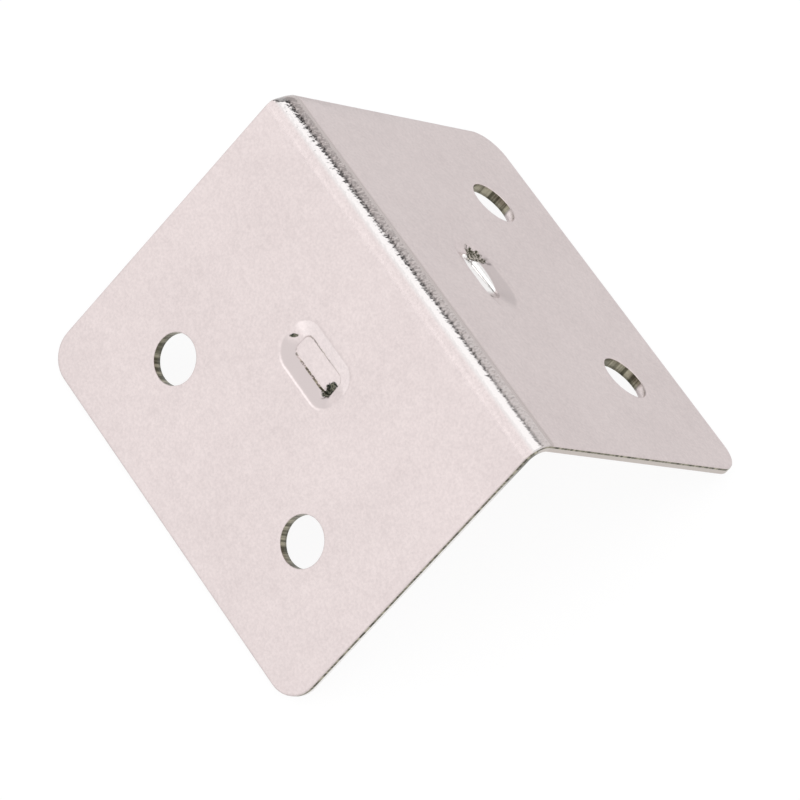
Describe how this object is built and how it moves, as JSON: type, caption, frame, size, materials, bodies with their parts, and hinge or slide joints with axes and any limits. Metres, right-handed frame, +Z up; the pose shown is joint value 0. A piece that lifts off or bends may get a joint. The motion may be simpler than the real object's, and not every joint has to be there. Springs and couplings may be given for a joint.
{
  "type": "reinforced angle bracket",
  "caption": "Folded sheet-steel angle bracket with rounded free corners, screw holes near the free edge of each leg and a small pressed stiffening recess in each leg.",
  "frame": {"origin": "middle of the footprint, on the ground that the two free edges stand on", "axes": "+Z up, through the fold on top; +X along the fold; -Y towards the longer front leg, +Y towards the rear leg"},
  "size_m": [0.05, 0.0556, 0.0274],
  "materials": {
    "zinc_plated_steel": "satin bright zinc plate"
  },
  "bodies": {
    "root": {"bracket": "zinc_plated_steel"}
  },
  "joints": []
}
